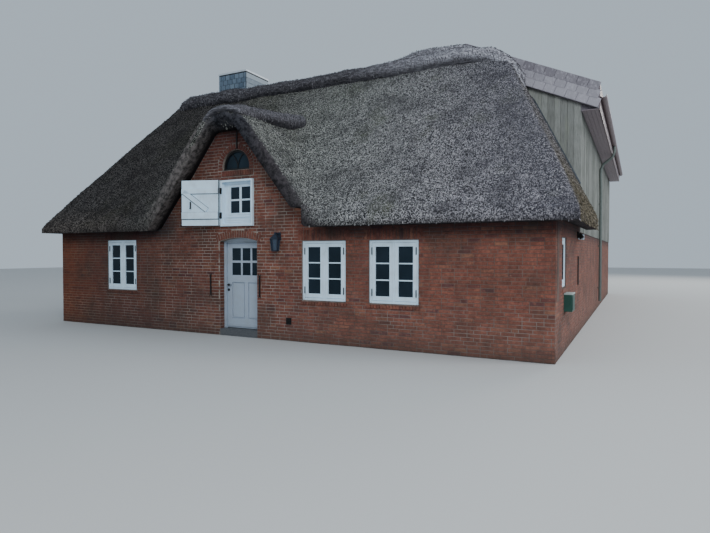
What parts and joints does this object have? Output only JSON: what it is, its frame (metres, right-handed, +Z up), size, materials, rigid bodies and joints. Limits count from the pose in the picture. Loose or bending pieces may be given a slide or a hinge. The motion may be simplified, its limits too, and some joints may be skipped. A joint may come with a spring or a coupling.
{
  "type": "thatched cottage",
  "caption": "Low brick cottage with a hipped thatched roof, a front gable over the door with a loft hatch, and a boarded rear wing; the front door swings inward.",
  "frame": {"origin": "middle of the whole cottage in plan, on the ground", "axes": "+Z up, +Y from the front wall into the house, +X to the right along the front"},
  "size_m": [13.6504, 18.6086, 7.4197],
  "materials": {
    "brick": "fired brick with light mortar joints, rough",
    "thatch": "weathered reed ends, rough, grey-brown",
    "heather": "heather ridge, dark purple-grey, rough",
    "grey_boards": "weathered vertical boards, grey-green",
    "shingle": "dull purple-grey roof shingles",
    "slate": "blue-grey slate, slightly satin",
    "lead": "dull pale sheet metal",
    "gutter_metal": "red-brown painted gutter",
    "floor_boards": "plain boards, matt",
    "stone": "worn stone sill",
    "white_paint": "satin white paint on wood",
    "dark_paint": "dark paint on wood",
    "window_glass": "clear glass, dark behind",
    "black_iron": "black painted iron",
    "green_plastic": "dark green box with a light top"
  },
  "bodies": {
    "house": {"ground_floor": "floor_boards", "loft_floor": "floor_boards", "front_wall_left": "brick", "front_wall_right": "brick", "front_gable": "brick", "left_end_wall": "brick", "right_end_wall": "brick", "rear_wall": "brick", "wing_right_wall": "brick", "wing_left_wall": "brick", "wing_rear_wall": "brick", "wing_front_boards": "grey_boards", "wing_right_boards": "grey_boards", "wing_left_boards": "grey_boards", "wing_rear_boards": "grey_boards", "wing_roof_right": "shingle", "wing_roof_left": "shingle", "wing_front_verge": "shingle", "wing_rear_verge": "shingle", "wing_gutter_right": "gutter_metal", "wing_gutter_left": "gutter_metal", "wing_downpipe": "gutter_metal", "thatch_front_left": "thatch", "thatch_front_right": "thatch", "thatch_gable": "thatch", "thatch_left_hip": "thatch", "thatch_right_hip": "thatch", "thatch_rear": "thatch", "ridge_roll": "heather", "gable_roll": "heather", "chimney_stack": "slate", "chimney_cap": "lead", "door_sill": "stone", "door_frame": "white_paint", "front_left_window": "white_paint", "front_middle_window": "white_paint", "front_right_window": "white_paint", "end_window": "white_paint", "left_end_window": "white_paint", "rear_window": "white_paint", "wing_window": "white_paint", "lunette_window": "dark_paint", "hatch_window": "white_paint", "hatch_shutter": "white_paint", "wall_lantern": "black_iron", "meter_box": "green_plastic"},
    "door": {"door_leaf": "white_paint", "door_glass": "window_glass", "door_handle": "black_iron"}
  },
  "joints": [
    {"name": "front_door_hinge", "type": "hinge", "parent": "house", "child": "door", "pos_m": [0.17785, -8.56171, 1.09485], "axis": [0, 0, -1], "range_deg": [0, 90]}
  ]
}
